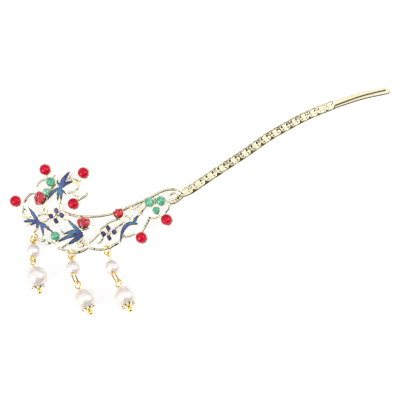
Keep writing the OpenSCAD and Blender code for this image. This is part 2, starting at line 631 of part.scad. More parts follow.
module jump_ring(i) {
    d = drops[i];
    color(rich_gold) aim(eye_place(d), to_rail(d), ring_rise(d), d[7][0]) loop(jump_r);
}
module eye_pin(i) {
    d = drops[i];
    top = small_top(d);
    end = small_end(d);
    way = oblong_end(d) - end;
    color(rich_gold) {
        eye_start = eye_place(d) - along(to_rail(d), 0) * eye_r;
        rod(top, end);
        rod(top, eye_start, pin_d - neck_less);
        aim(eye_start, to_rail(d), 0, d[7][1]) loop(eye_r);
        aim(end, atan2(way.y, way.x), asin(way.z / norm(way)), d[7][2]) oblong(oblong_r, norm(way));
    }
}
module pearl_on(place, heading, rise, size) {
    aim(place, heading, rise, 0) rotate([0, 90, 0]) difference() {
        sphere(d = size);
        translate([0, 0, -size]) cylinder(d = bore_d, h = 2 * size);
    }
}
module small_pearl(i) {
    d = drops[i];
    color(pearl) pearl_on(small_place(d), d[2], small_pin_rise, small_pearl_d);
}
module large_pearl(i) {
    d = drops[i];
    color(pearl) pearl_on(large_place(d), d[4], d[5], large_pearl_d);
}
module cap_plan() {
    petal_r = cap_d / 2 * sin(180 / cap_petals) * petal_fill;
    difference() {
        union() {
            circle(d = cap_d * cap_whole_share);
            for (k = [0 : cap_petals - 1])
                rotate(k * 360 / cap_petals) translate([cap_d / 2 - petal_r, 0]) circle(petal_r);
        }
        for (k = [0 : cap_petals - 1])
            rotate((k + 0.5) * 360 / cap_petals) translate([cap_d / 2 * cap_slit_share, -cap_slit_w / 2])
                square([cap_d, cap_slit_w]);
        circle(d = bore_d);
    }
}
module bead_cap(i) {
    d = drops[i];
    color(rich_gold) aim(large_place(d), d[4], d[5], 0) rotate([0, 90, 0]) intersection() {
        translate([0, 0, large_r + cap_lift - cap_bend]) difference() {
            sphere(r = cap_bend + cap_t);
            sphere(r = cap_bend);
        }
        translate([0, 0, large_r - cap_deep]) linear_extrude(cap_deep + 2 * cap_t) cap_plan();
    }
}
module head_pin(i) {
    d = drops[i];
    top = large_top(d);
    way = chain_way(d);
    color(rich_gold) {
        rod(top, ball_place(d));
        translate(ball_place(d)) sphere(d = ball_d);
        aim(top, atan2(way.y, way.x), asin(way.z), d[7][3]) loop(pin_loop_r(d));
    }
}

hairpin_frame();
spray(spray_a_leaves);  // spray_a
spray(spray_b_leaves);  // spray_b
spray(spray_c_leaves);  // spray_c
spray(spray_d_leaves);  // spray_d
flower_enamel(0);  // flower_1_enamel
flower_enamel(1);  // flower_2_enamel
rose(0);  // rose_1
rose(1);  // rose_2
rose(2);  // rose_3
red_bead(0);  // red_bead_1
red_bead(1);  // red_bead_2
red_bead(2);  // red_bead_3
red_bead(3);  // red_bead_4
red_bead(4);  // red_bead_5
red_bead(5);  // red_bead_6
green_bead(0);  // green_bead_1
green_bead(1);  // green_bead_2
green_bead(2);  // green_bead_3
green_bead(3);  // green_bead_4
green_bead(4);  // green_bead_5
green_bead(5);  // green_bead_6
jump_ring(0);  // jump_ring_1
jump_ring(1);  // jump_ring_2
jump_ring(2);  // jump_ring_3
eye_pin(0);  // eye_pin_1
eye_pin(1);  // eye_pin_2
eye_pin(2);  // eye_pin_3
small_pearl(0);  // small_pearl_1
small_pearl(1);  // small_pearl_2
small_pearl(2);  // small_pearl_3
large_pearl(0);  // large_pearl_1
large_pearl(1);  // large_pearl_2
large_pearl(2);  // large_pearl_3
bead_cap(0);  // bead_cap_1
bead_cap(1);  // bead_cap_2
bead_cap(2);  // bead_cap_3
head_pin(0);  // head_pin_1
head_pin(1);  // head_pin_2
head_pin(2);  // head_pin_3
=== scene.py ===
import bpy
import bmesh
import math
import numpy as np
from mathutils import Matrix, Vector, bvhtree, kdtree


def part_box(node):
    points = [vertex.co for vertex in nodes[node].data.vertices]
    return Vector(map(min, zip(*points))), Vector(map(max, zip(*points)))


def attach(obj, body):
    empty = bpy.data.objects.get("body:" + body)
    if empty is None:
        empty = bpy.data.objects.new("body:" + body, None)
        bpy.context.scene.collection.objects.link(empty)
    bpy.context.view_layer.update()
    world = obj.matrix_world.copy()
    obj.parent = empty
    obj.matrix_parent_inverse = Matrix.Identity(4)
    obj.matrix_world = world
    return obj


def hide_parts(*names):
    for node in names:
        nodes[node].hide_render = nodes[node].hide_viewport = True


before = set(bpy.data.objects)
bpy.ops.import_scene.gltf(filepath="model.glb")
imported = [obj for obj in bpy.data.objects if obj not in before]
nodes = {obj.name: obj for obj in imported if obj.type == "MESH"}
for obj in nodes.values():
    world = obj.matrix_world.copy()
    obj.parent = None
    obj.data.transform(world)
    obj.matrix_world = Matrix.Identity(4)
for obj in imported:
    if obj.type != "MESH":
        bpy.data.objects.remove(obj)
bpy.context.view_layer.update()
scene = bpy.context.scene
mm = 0.001  # lengths in the dictionaries are in mm, except where a note says otherwise


# Materials
def linear(hexColour):
    parts = [int(hexColour[i:i + 2], 16) / 255 for i in (1, 3, 5)]
    return tuple(c / 12.92 if c <= 0.04045 else ((c + 0.055) / 1.055) ** 2.4 for c in parts) + (1.0,)


def newMaterial(name):
    mat = bpy.data.materials.new(name)
    mat.use_nodes = True
    mat.node_tree.nodes.clear()
    return mat


# Places along a ramp, each with a hex colour or with a number that stands for a grey
def setStops(elements, stops):
    while len(elements) < len(stops):
        elements.new(0.5)
    for element, (place, colour) in zip(elements, stops):
        element.position = place
        element.color = linear(colour) if isinstance(colour, str) else (colour, colour, colour, 1)


# A setting is one of the node's inputs, the stops of its ramp or another of its values
def addNode(mat, kind, settings=None, links=None):
    node = mat.node_tree.nodes.new(kind)
    for key, value in (settings or {}).items():
        if key == "stops":
            setStops(node.color_ramp.elements, value)
        elif isinstance(key, int) or key in node.inputs:
            node.inputs[key].default_value = value
        else:
            setattr(node, key, value)
    for key, (source, output) in (links or {}).items():
        mat.node_tree.links.new(source.outputs[output], node.inputs[key])
    return node


def surface(mat, settings, links):
    shader = addNode(mat, "ShaderNodeBsdfPrincipled", settings, links)
    addNode(mat, "ShaderNodeOutputMaterial", None, {"Surface": (shader, "BSDF")})
    return mat


# Colours or greys that drift over a surface, in patches of a real size
def driftingTint(mat, coords, sizeMm, stops, detail, roughness=0.55, distortion=0.0):
    patches = addNode(mat, "ShaderNodeTexNoise",
                      {"Scale": 1000.0 / sizeMm, "Detail": detail, "Roughness": roughness,
                       "Distortion": distortion}, {"Vector": (coords, "Object")})
    return addNode(mat, "ShaderNodeValToRGB", {"stops": stops}, {"Fac": (patches, "Fac")})


# Unevenness of a polished surface: its strength, its depth and the width of its grain. The marks of
# polishing are finer than these widths, and are drawn this coarse so that they show.
def surfaceGrain(mat, coords, strength, depthMm, sizeMm, detail=3):
    grit = addNode(mat, "ShaderNodeTexNoise",
                   {"Scale": 1000.0 / sizeMm, "Detail": detail, "Roughness": 0.55},
                   {"Vector": (coords, "Object")})
    return addNode(mat, "ShaderNodeBump", {"Strength": strength, "Distance": depthMm * mm},
                   {"Height": (grit, "Fac")})


# A colour laid over the one below it, as far as the mesh's own values at its points call for it
def laidOver(mat, below, valueName, stops, colour):
    values = addNode(mat, "ShaderNodeAttribute", {"attribute_name": valueName})
    share = addNode(mat, "ShaderNodeValToRGB", {"stops": stops}, {"Fac": (values, "Fac")})
    return addNode(mat, "ShaderNodeMix", {"data_type": "RGBA", 7: linear(colour)},
                   {0: (share, "Color"), 6: below})


# Gold plate: satin grain, small tint changes, and one dark colour laid over as far as the mesh's values
# call for it: patina where the casting is hollow, and painted shade on steep sides, lower wires, creases,
# edges and slits
def goldMaterial(name, light, deep, patinaAndShade, rough):
    mat = newMaterial(name)
    coords = addNode(mat, "ShaderNodeTexCoord")
    tint = driftingTint(mat, coords, 2.5, [(0.3, deep), (0.62, light)], 4)
    colour = laidOver(mat, (tint, "Color"), "hollow", [(0.3, 0.0), (0.9, 0.95)], patinaAndShade)
    gloss = driftingTint(mat, coords, 0.6, [(0.3, rough * 0.75), (0.7, rough * 1.5)], 5, 0.6)
    grain = surfaceGrain(mat, coords, 0.22, 0.04, 0.35, 4)
    return surface(mat, {"Metallic": 1.0}, {"Base Color": (colour, 2), "Roughness": (gloss, "Color"),
                                            "Normal": (grain, "Normal")})


# Pale champagne plate on the cast frame and the stick, with olive patina that also serves as painted shade
paleGold = goldMaterial("pale_gold", "#FDF6DA", "#F5EAC4", "#50481E", 0.24)
# Deeper yellow plate on drawn wire, smoother and so brighter
richGold = goldMaterial("rich_gold", "#F4DA8C", "#E0BA5C", "#3A2808", 0.19)
# Stamped caps: the same pale plate, with near-black painted shade in the slits between the petals
stampedGold = goldMaterial("stamped_gold", "#FDF6DA", "#F3E4B4", "#120E04", 0.22)


# Vitreous enamel: deep colour with paler drifts, fine streaks and a darker edge
def enamelMaterial(name, dark, mid, pale, edge):
    mat = newMaterial(name)
    coords = addNode(mat, "ShaderNodeTexCoord")
    broad = driftingTint(mat, coords, 6.0, [(0.4, dark), (0.5, mid), (0.6, pale)], 2)
    fine = driftingTint(mat, coords, 0.9, [(0.45, 0.0), (0.75, 0.8)], 5, 0.6, 1.2)
    streaked = addNode(mat, "ShaderNodeMix", {"data_type": "RGBA", 7: linear(mid)},
                       {0: (fine, "Color"), 6: (broad, "Color")})
    colour = laidOver(mat, (streaked, 2), "inward", [(0.0, 1.0), (0.9, 0.0)], edge)
    grain = surfaceGrain(mat, coords, 0.15, 0.05, 0.8)
    return surface(mat, {"Roughness": 0.25, "Coat Weight": 0.25, "Coat Roughness": 0.06, "IOR": 1.52},
                   {"Base Color": (colour, 2), "Normal": (grain, "Normal")})


# Leaf sprays are blue with teal drifts, the flowers a near-black violet
navyEnamel = enamelMaterial("navy_enamel", "#202A62", "#43559C", "#3E7CA2", "#101638")
violetEnamel = enamelMaterial("violet_enamel", "#201A48", "#332C66", "#5C56A0", "#161034")


# Rose enamel: clear red, with a painted pink highlight on the lips and painted shade between the petals
def roseMaterial():
    mat = newMaterial("red_enamel")
    coords = addNode(mat, "ShaderNodeTexCoord")
    body = driftingTint(mat, coords, 1.6, [(0.35, "#C0081C"), (0.6, "#DA142C")], 3, 0.5, 0.5)
    toned = laidOver(mat, (body, "Color"), "tone", [(0.3, 0.0), (0.9, 0.7)], "#9A0C3A")
    lit = laidOver(mat, (toned, 2), "lip", [(0.35, 0.0), (1.0, 0.7)], "#E2485C")
    colour = laidOver(mat, (lit, 2), "hollow", [(0.05, 0.0), (0.7, 0.96)], "#2E0208")
    grain = surfaceGrain(mat, coords, 0.12, 0.04, 0.7)
    return surface(mat, {"Roughness": 0.2, "Coat Weight": 0.7, "Coat Roughness": 0.04, "IOR": 1.52},
                   {"Base Color": (colour, 2), "Normal": (grain, "Normal")})


roseEnamel = roseMaterial()


# Polished stone bead: cloudy colour inside, clear gloss on top
def beadMaterial(name, dark, mid, pale, sheen, sizeMm, ior):
    mat = newMaterial(name)
    coords = addNode(mat, "ShaderNodeTexCoord")
    cloud = driftingTint(mat, coords, sizeMm, [(0.35, dark), (0.52, mid), (0.7, pale)], 4, 0.6, 0.8)
    grain = surfaceGrain(mat, coords, 0.05, 0.03, 0.6)
    return surface(mat, {"Roughness": 0.07, "IOR": ior, "Specular Tint": linear(sheen),
                         "Subsurface Weight": 0.06, "Subsurface Scale": 0.8 * mm},
                   {"Base Color": (cloud, "Color"), "Normal": (grain, "Normal")})


# Agate is an even deep red, jade a cloudy green that shines a little more
redAgate = beadMaterial("red_agate", "#A80420", "#BE0A2A", "#D21C3C", "#FF9AA6", 2.2, 1.54)
greenJade = beadMaterial("green_jade", "#37906F", "#52A684", "#A2D0B8", "#E8FFF6", 1.8, 1.63)


# Pearl: pale nacre in faint drifting tints under a soft coat, with a satin edge
def pearlMaterial():
    mat = newMaterial("shell_pearl")
    coords = addNode(mat, "ShaderNodeTexCoord")
    nacre = driftingTint(mat, coords, 3.2, [(0.32, "#E8DAD3"), (0.5, "#EFE7E1"), (0.68, "#E2DEE0")],
                         2, 0.5, 0.6)
    grain = surfaceGrain(mat, coords, 0.06, 0.03, 0.5)
    return surface(mat, {"Roughness": 0.3, "Coat Weight": 0.9, "Coat Roughness": 0.08, "Coat IOR": 1.6,
                         "IOR": 1.6, "Metallic": 0.38, "Subsurface Weight": 0.2,
                         "Subsurface Scale": 1.2 * mm, "Specular Tint": linear("#F6E6E6")},
                   {"Base Color": (nacre, "Color"), "Normal": (grain, "Normal")})


shellPearl = pearlMaterial()


# Mesh helpers
def linkNew(name, mesh, mats):
    for mat in mats:
        mesh.materials.append(mat)
    piece = bpy.data.objects.new(name, mesh)
    scene.collection.objects.link(piece)
    return piece


def applyModifier(piece, kind, **settings):
    mod = piece.modifiers.new(kind.lower(), kind)
    for key, value in settings.items():
        setattr(mod, key, value)
    depsgraph = bpy.context.evaluated_depsgraph_get()
    done = bpy.data.meshes.new_from_object(piece.evaluated_get(depsgraph))
    old = piece.data
    piece.modifiers.clear()
    piece.data = done
    bpy.data.meshes.remove(old)


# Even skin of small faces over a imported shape, a little rounded
def reskin(piece, voxel, rounds):
    applyModifier(piece, "REMESH", mode="VOXEL", voxel_size=voxel * mm)
    applyModifier(piece, "SMOOTH", factor=0.5, iterations=rounds)


def coordsOf(mesh):
    co = np.zeros(len(mesh.vertices) * 3, np.float32)
    mesh.vertices.foreach_get("co", co)
    return co.reshape(-1, 3)


def normalsOf(mesh):
    normals = np.zeros(len(mesh.vertices) * 3, np.float32)
    mesh.vertices.foreach_get("normal", normals)
    return normals.reshape(-1, 3)


def movePoints(mesh, co):
    mesh.vertices.foreach_set("co", co.astype(np.float32).ravel())
    mesh.update()


def setPointValues(piece, name, values):
    layer = piece.data.attributes.get(name) or piece.data.attributes.new(name, "FLOAT", "POINT")
    layer.data.foreach_set("value", np.asarray(values, np.float32))


def smoothShade(piece):
    piece.data.polygons.foreach_set("use_smooth", [True] * len(piece.data.polygons))


def triangleCount(piece):
    return sum(len(p.vertices) - 2 for p in piece.data.polygons)


def copyOfNode(name, pieceName, mats):
    bm = bmesh.new()
    bm.from_mesh(nodes[name].data)
    bmesh.ops.remove_doubles(bm, verts=bm.verts, dist=1e-6)
    mesh = bpy.data.meshes.new(pieceName)
    bm.to_mesh(mesh)
    bm.free()
    return linkNew(pieceName, mesh, mats)


def dropPart(piece, gone):
    bm = bmesh.new()
    bm.from_mesh(piece.data)
    bm.verts.ensure_lookup_table()
    bmesh.ops.delete(bm, geom=[bm.verts[int(i)] for i in np.nonzero(gone)[0]], context="VERTS")
    bm.to_mesh(piece.data)
    bm.free()


def meshFrom(name, verts, faces, mats):
    mesh = bpy.data.meshes.new(name)
    mesh.from_pydata([tuple(v) for v in verts], [], faces)
    mesh.update()
    return linkNew(name, mesh, mats)


# Slow uneven drift between -1 and 1, for a hand-finished look
def drift(a, b):
    return (np.sin(2.1 * a + 1.3 * np.sin(1.7 * b)) + np.sin(3.7 * a - 2.9 * b + 1.3)
            + np.sin(5.9 * a + 4.3 * b + 2 * np.sin(0.9 * a))) / 3


# Each point moved to the mean of its neighbours, a number of times
def neighbourMean(mesh, co, rounds):
    edges = np.zeros(len(mesh.edges) * 2, np.int32)
    mesh.edges.foreach_get("vertices", edges)
    a, b = edges[0::2], edges[1::2]
    count = np.bincount(a, minlength=len(co)) + np.bincount(b, minlength=len(co))
    near = co.copy()
    for _ in range(rounds):
        total = np.zeros_like(near)
        for axis in range(3):
            total[:, axis] = np.bincount(a, near[b, axis], len(co)) + np.bincount(b, near[a, axis], len(co))
        near = total / np.maximum(count, 1)[:, None]
    return near


# Rounds of averaging and depth find the hollows, which get patina. The shares say how dark the painted
# shade on the steep sides and on the lower wires gets, and how dark the inner wires' mottling gets. Lower
# wires start below lowY, left of leftX and right of rootX.
patinaAndShadeSettings = {"rounds": 10, "depth": 0.12, "sides": 1.0, "lowWireShade": 1.3, "innerWires": 0.85,
                  "lowY": -3, "leftX": -66, "rootX": -16, "headMiddle": (-55, -7), "headSquash": 0.35,
                  "mottleScale": 0.6}


# Patina of the cast metal in its hollows and in mottled patches, with painted shade on the wires' steep
# sides and on the lower wires, and the top rail's outer side painted lighter
def markPatinaAndShade(piece):
    patinaAndShade = patinaAndShadeSettings
    co = coordsOf(piece.data).astype(float)
    normals = normalsOf(piece.data)
    sunk = ((neighbourMean(piece.data, co, patinaAndShade["rounds"]) - co) * normals).sum(1)
    hollow = sunk / (patinaAndShade["depth"] * mm)
    x, y = co[:, 0] / mm, co[:, 1] / mm
    # Painted shade on the steep sides, most on those that face out of the head's middle
    middleX, middleY = patinaAndShade["headMiddle"]
    outX = (x - middleX) * patinaAndShade["headSquash"]
    outY = y - middleY
    facing = (normals[:, 0] * outX + normals[:, 1] * outY) / np.maximum(np.hypot(outX, outY), 0.1)
    steep = np.clip((0.92 - np.abs(normals[:, 2])) / 0.2, 0, 1)
    sides = patinaAndShade["sides"] * steep * np.clip(0.25 + facing, 0, 1)
    # Lower wires get more mottling as painted shade, and the top rail's outer side keeps none of the
    # mottling, so it is painted lighter
    below = (patinaAndShade["lowY"] - y) / 4
    left = (patinaAndShade["leftX"] - x) / 4
    root = (x - patinaAndShade["rootX"]) / 5
    low = np.clip(np.maximum.reduce([below, left, root]), 0, 1)
    litRailSide = np.clip(facing - 0.2, 0, 0.3) / 0.3 * (y > 0)
    share = patinaAndShade["lowWireShade"] * low + patinaAndShade["innerWires"] * (1 - low) * (1 - litRailSide)
    mottle = share * np.clip(drift(x * patinaAndShade["mottleScale"], y * patinaAndShade["mottleScale"]), 0, 1)
    setPointValues(piece, "hollow", np.clip(np.maximum.reduce([hollow, sides, mottle]), 0, 1))


# Stick. Its middle line is chosen from the photograph, from its root to its tip.
stickPoints = [(-9.6, 2.4), (-3.8, 5.7), (2.3, 9.8), (12.3, 16.5), (20.7, 22), (30.7, 29), (39.6, 34.1),
               (47.7, 38.4), (57.4, 42.4), (60.5, 43.6), (73, 47.5), (85.5, 50.1)]
stickSettings = {
    "width": 4.1, "thick": 3.0, "tipWidth": 3.1, "tipThick": 1.6, "tipRound": 1.55,
    "step": 0.12, "across": 37,  # distance between cross sections, and points across one
    "edgeWidth": 0.2, "edgeDrop": 0.25,  # rounding of the two edges, as shares of width and height
    "reliefShare": 0.755, "motifs": 15, "slowing": 0.3, "lean": 0.1, "ground": 0.12, "pit": 0.24,
    "strengthAt": [0, 12, 30, 62, 76], "strength": [0.5, 0.7, 1.2, 1.2, 0.6],  # of the relief
    "plainStep": 0.5, "plainDrop": 0.2,  # how much narrower and lower the plain end starts
    "creaseFrom": -0.17, "creaseRun": 0.28, "creaseWidth": 0.14, "creaseEnd": 0.93,  # shares
    "creaseDepth": 0.14}
# One scroll motif. Places and rises across it are shares of the stick's width, eyeAlong is a share of
# the motif's length, and faint is the depth of slits and dips next to the pits. The rest is in mm.
motifSettings = {
    "ridge": 0.17, "eyeAlong": 0.24, "eyeAcross": 0.17,
    "spiralFrom": 0.46, "spiralTo": 0.96, "turns": 1.55,  # radii of the spiral, and its turns
    "bowInset": 0.42, "bowAcross": -0.06, "bowRise": 0.34,
    "leafFoot": 0.1, "leafBulge": 1.44, "leafAcross": -0.33, "leafRise": 0.36,
    "ribFrom": -0.1, "ribTo": 0.44,
    "pitAcross": 0.2, "pit": 0.46, "hookAcross": 0.08, "hook": 0.78, "hookWidth": 0.16,
    "notchTop": 0.02, "notchTaper": 0.4, "notchEnd": -0.46, "dipFrom": 0.26, "faint": 0.15}
# How dark each part of the stick's patina and painted shade is, as shares: pit, ground and streaks are
# patina, while crease, the edge values and tip are painted shade
stickPatinaAndShade = {"pit": 1.1, "ground": 0.64, "streaks": 0.3, "crease": 1.25, "edge": 0.1,
               "edgeShadeByHead": 0.6, "edgeShadeByTip": 0.8, "tip": 0.55}


def curvePoint(a, b, c, d, t):
    bend = (2 * a - 5 * b + 4 * c - d) * t * t
    return (2 * b + (c - a) * t + bend + (3 * b - a - 3 * c + d) * t ** 3) / 2


# Smooth curve through the chosen points
def smoothLine(points, pitch):
    p = [Vector(q) for q in points]
    out = []
    for i in range(len(p) - 1):
        n = max(1, math.ceil((p[i + 1] - p[i]).length / pitch))
        before, after = p[max(i - 1, 0)], p[min(i + 2, len(p) - 1)]
        out += [curvePoint(before, p[i], p[i + 1], after, j / n) for j in range(n)]
    return out + [p[-1]]


stickLine = smoothLine(stickPoints, 0.5)
stickRuns = np.concatenate([[0], np.cumsum([(b - a).length for a, b in zip(stickLine, stickLine[1:])])])
stickLength = float(stickRuns[-1])
reliefLength = stickLength * stickSettings["reliefShare"]
motifPitch = reliefLength / stickSettings["motifs"]
stickX = np.array([p.x for p in stickLine])
stickY = np.array([p.y for p in stickLine])


def stickAt(s):
    return np.interp(s, stickRuns, stickX), np.interp(s, stickRuns, stickY)


# Place along the stick's line and distance from it, for arrays of points
def alongStick(x, y):
    tree = kdtree.KDTree(len(stickLine))
    for i, p in enumerate(stickLine):
        tree.insert((p.x, p.y, 0), i)
    tree.balance()
    found = [tree.find((px, py, 0)) for px, py in zip(x, y)]
    return np.array([stickRuns[f[1]] for f in found]), np.array([f[2] for f in found])


# The stick is modelled apart from the rest, from joinAt along its line. What lies within stickClear of
# the line is then cut off the frame.
castSettings = {"voxel": 0.13, "smooth": 3, "fill": 0.07, "enamelGap": 0.3, "trianglesAtMost": 185000,
                "stickFromX": -9, "joinAt": 2.6, "stickClear": 2.4}


# 0 at the enamel's edge and 1 a little away from it, so that the cells keep their width
def farFromEnamel(co):
    verts, faces = [], []
    for name, node in nodes.items():
        if name.startswith("spray_") or name.endswith("_enamel"):
            start = len(verts)
            verts += [tuple(v.co) for v in node.data.vertices]
            faces += [tuple(start + i for i in p.vertices) for p in node.data.polygons]
    tree = bvhtree.BVHTree.FromPolygons(verts, faces)
    gap = np.array([tree.find_nearest(p)[3] for p in co]) / mm
    return np.clip((gap - castSettings["enamelGap"]) / castSettings["enamelGap"], 0, 1)


# Cast frame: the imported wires, cells and cups with the rounded edges of a casting
def buildCastFrame():
    cast = castSettings
    piece = copyOfNode("hairpin_frame", "cast_frame", [paleGold])
    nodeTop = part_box("hairpin_frame")[1][2]
    reskin(piece, cast["voxel"], cast["smooth"])
    # Smoothing thins the wires, so they are filled out again along their normals
    co = coordsOf(piece.data).astype(float)
    fill = cast["fill"] * mm * farFromEnamel(co)
    co += normalsOf(piece.data) * fill[:, None]
    co[:, 2] = np.clip(co[:, 2], 0, nodeTop)
    movePoints(piece.data, co)
    right = np.nonzero(co[:, 0] / mm > cast["stickFromX"])[0]
    place, away = alongStick(co[right, 0] / mm, co[right, 1] / mm)
    gone = np.zeros(len(co), bool)
    gone[right] = (place > cast["joinAt"]) & (away < cast["stickClear"])
    dropPart(piece, gone)
    many = triangleCount(piece)
    if many > cast["trianglesAtMost"]:
        applyModifier(piece, "DECIMATE", ratio=cast["trianglesAtMost"] / many)
    print("cast frame:", many, "triangles, kept", triangleCount(piece))
    markPatinaAndShade(piece)
    smoothShade(piece)
    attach(piece, "root")
    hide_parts("hairpin_frame")


# Raised lines of one scroll motif: two spirals, two bows and two leaves beside a middle rib
def motifLines(pitch, wide):
    motif = motifSettings
    turn = np.linspace(0, motif["turns"], 40) * 2 * math.pi
    radius = motif["spiralFrom"] + (motif["spiralTo"] - motif["spiralFrom"]) * turn / turn[-1]
    bow = np.linspace(-math.pi, 0, 40)
    bowY = wide * (motif["bowAcross"] + motif["bowRise"] * np.sin(bow))
    leaf = np.linspace(0, 1, 20)
    leafX = motif["leafFoot"] + motif["leafBulge"] * leaf * (1 - leaf)
    leafY = wide * (motif["leafAcross"] + motif["leafRise"] * leaf)
    rib = np.linspace(motif["ribFrom"], motif["ribTo"], 16) * wide
    lines = [(np.zeros_like(rib), rib)]
    for side in (-1, 1):
        angle = math.pi / 2 + side * turn
        lines.append((side * motif["eyeAlong"] * pitch + radius * np.cos(angle),
                      motif["eyeAcross"] * wide + radius * np.sin(angle)))
        lines.append((side * 0.02 + (pitch / 2 - motif["bowInset"]) * np.cos(bow), bowY))
        lines.append((side * leafX, leafY))
    return np.concatenate([np.stack(line, 1) for line in lines])


# Distance of each place from the nearest of the line points, in batches that fit in memory
def nearestLine(u, v, points, batch=4000):
    flat = np.stack([u.ravel(), v.ravel()], 1)
    near = np.zeros(len(flat))
    for a in range(0, len(flat), batch):
        gap = flat[a:a + batch, None, :] - points[None]
        near[a:a + batch] = np.sqrt((gap ** 2).sum(2)).min(1)
    return near.reshape(u.shape)


# Ridges and pits over one motif: u runs along it from its middle, v across, both in mm
def reliefPattern(u, v, pitch, wide):
    motif = motifSettings
    near = nearestLine(u, v, motifLines(pitch, wide))
    ridge = np.clip(1 - (near / (2 * motif["ridge"])) ** 2, 0, 1)
    pit = np.zeros_like(u)
    outside = np.full(u.shape, 9.0)
    for side in (-1, 1):
        across = u - side * motif["eyeAlong"] * pitch
        eye = np.hypot(across, v - motif["pitAcross"] * wide)
        around = np.hypot(across, v - motif["hookAcross"] * wide)
        hook = np.clip(1.2 - np.abs(around - motif["hook"]) / motif["hookWidth"], 0, 1)
        hook = hook * (v > motif["hookAcross"] * wide) * (side * u > 0.2 * pitch)
        pit = np.maximum.reduce([pit, np.clip(1.5 - eye / motif["pit"], 0, 1), 0.85 * hook])
        outside = np.minimum(outside, np.hypot(across, v - motif["eyeAcross"] * wide))
    # A notch and a fine slit between two motifs, and a dip above their spirals
    border = pitch / 2 - np.abs(u)
    apex = np.clip((motif["notchTop"] * wide - v) / (motif["notchTaper"] * wide), 0, 1)
    notch = np.clip((apex - border) / 0.2, 0, 1) * np.clip((v - motif["notchEnd"] * wide) / 0.2, 0, 1)
    slit = np.clip((0.2 - border) / 0.1, 0, 1) * (v > -0.05 * wide) * (v < 0.36 * wide)
    above = np.clip((v / wide - motif["dipFrom"]) / 0.06, 0, 1)
    dip = np.clip((outside - 1.02) / 0.15, 0, 1) * above
    return ridge, np.maximum.reduce([pit, notch, slit * motif["faint"], dip * motif["faint"]])


# Width and height at each run s, how far the stick is plain there, and the share of its plain end
def stickSection(s):
    stick = stickSettings
    plain = np.clip((s - reliefLength) / 0.5, 0, 1)
    share = np.clip((s - reliefLength) / (stickLength - reliefLength), 0, 1)
    wideRelief = stick["width"] * np.minimum(1, 0.6 + 0.1 * s)
    plainWidth = stick["width"] - stick["plainStep"]
    widePlain = plainWidth + (stick["tipWidth"] - plainWidth) * share
    tip = 1 - np.clip((stickLength - s) / stick["tipRound"], 0, 1)
    wide = (wideRelief * (1 - plain) + widePlain * plain) * np.sqrt(np.clip(1 - tip ** 2, 0.02, 1))
    tall = stick["thick"] + (stick["tipThick"] - stick["thick"]) * s / stickLength
    return wide, tall - stick["plainDrop"] * plain, plain, share


# Height, patina and painted shade of the stick's face: rows run along the stick, and front is the place
# across it as a share of its width
def stickFace(s, front, v, tall, plain, share):
    stick, dark = stickSettings, stickPatinaAndShade
    run = s[:, None]
    plainRun = plain[:, None]
    # Motifs are longest by the head: their ends stand at reliefLength * ((1 + q) t - q t t)
    q = stick["slowing"]
    along = np.clip((run + stick["lean"] * v) / reliefLength, 0, 1)
    motif = stick["motifs"] * (1 + q - np.sqrt((1 + q) ** 2 - 4 * q * along)) / (2 * q)
    u = (motif % 1 - 0.5) * motifPitch
    uneven = drift(run, v)
    ridge, pit = reliefPattern(u + 0.09 * uneven, v + 0.1 * drift(run + 7, v), motifPitch, stick["width"])
    fade = (1 - plainRun) * np.clip((0.5 - np.abs(front)) / 0.06, 0, 1)
    strength = np.interp(s, stick["strengthAt"], stick["strength"])[:, None]
    shoulder = np.clip((0.5 - np.abs(front)) / stick["edgeWidth"], 0, 1)
    edge = (1 - stick["edgeDrop"] * (1 - np.sqrt(1 - (1 - shoulder) ** 2 * 0.999))) * tall[:, None]
    sunkGround = stick["ground"] * (1 - ridge) * (0.6 + 0.4 * strength)
    relief = edge - fade * (sunkGround + stick["pit"] * pit * strength)
    # Plain end: two faces that meet in a fine crease, which runs slantwise along it
    creaseAt = stick["creaseFrom"] + stick["creaseRun"] * share[:, None]
    crown = 1 - 0.03 * np.clip((creaseAt - front) / 0.5, 0, 1)
    crease = np.clip(1 - np.abs(front - creaseAt) / stick["creaseWidth"], 0, 1)
    crease = crease * plainRun * (share[:, None] < stick["creaseEnd"])
    height = relief * (1 - plainRun) + plainRun * crown * edge
    height = np.maximum(height - stick["creaseDepth"] * crease, 0.3)
    # Patina lies in the pits and the ground and in streaks, and painted shade in the crease
    ground = dark["ground"] * (1 - ridge) * (0.4 + 0.6 * strength)
    hollow = fade * (dark["pit"] * pit * strength + ground) * (0.9 + 0.4 * uneven)
    hollow = hollow + fade * dark["streaks"] * np.clip(drift(1.6 * v, run + 3), 0, 1)
    hollow = hollow + dark["crease"] * crease
    # Painted shade lies along the lower edge too, most by the head and on the plain end, and round the tip
    lowerEdgeShade = dark["edge"] + dark["edgeShadeByHead"] * np.clip(1 - run / 30, 0, 1)
    hollow = hollow + (lowerEdgeShade + dark["edgeShadeByTip"] * plainRun) * (front < -0.44)
    hollow = hollow + dark["tip"] * (stickLength - run < 0.4)
    return height, np.clip(hollow, 0, 1)


# The front, then the straight sides and the narrower flat back, then the two ends
def stickFaces(rows, cols):
    def backRing(i):
        return [rows * cols + rows * edge + i for edge in (3, 2, 1, 0)]

    faces = []
    for i in range(rows - 1):
        for j in range(cols - 1):
            a = i * cols + j
            faces.append((a, a + cols, a + cols + 1, a + 1))
        ring = [i * cols + cols - 1] + backRing(i) + [i * cols]
        nextRing = [(i + 1) * cols + cols - 1] + backRing(i + 1) + [(i + 1) * cols]
        for j in range(len(ring) - 1):
            faces.append((ring[j], nextRing[j], nextRing[j + 1], ring[j + 1]))
    for i, order in ((0, 1), (rows - 1, -1)):
        ring = [i * cols + j for j in range(cols)] + backRing(i)
        faces.append(tuple(ring[::order]))
    return faces


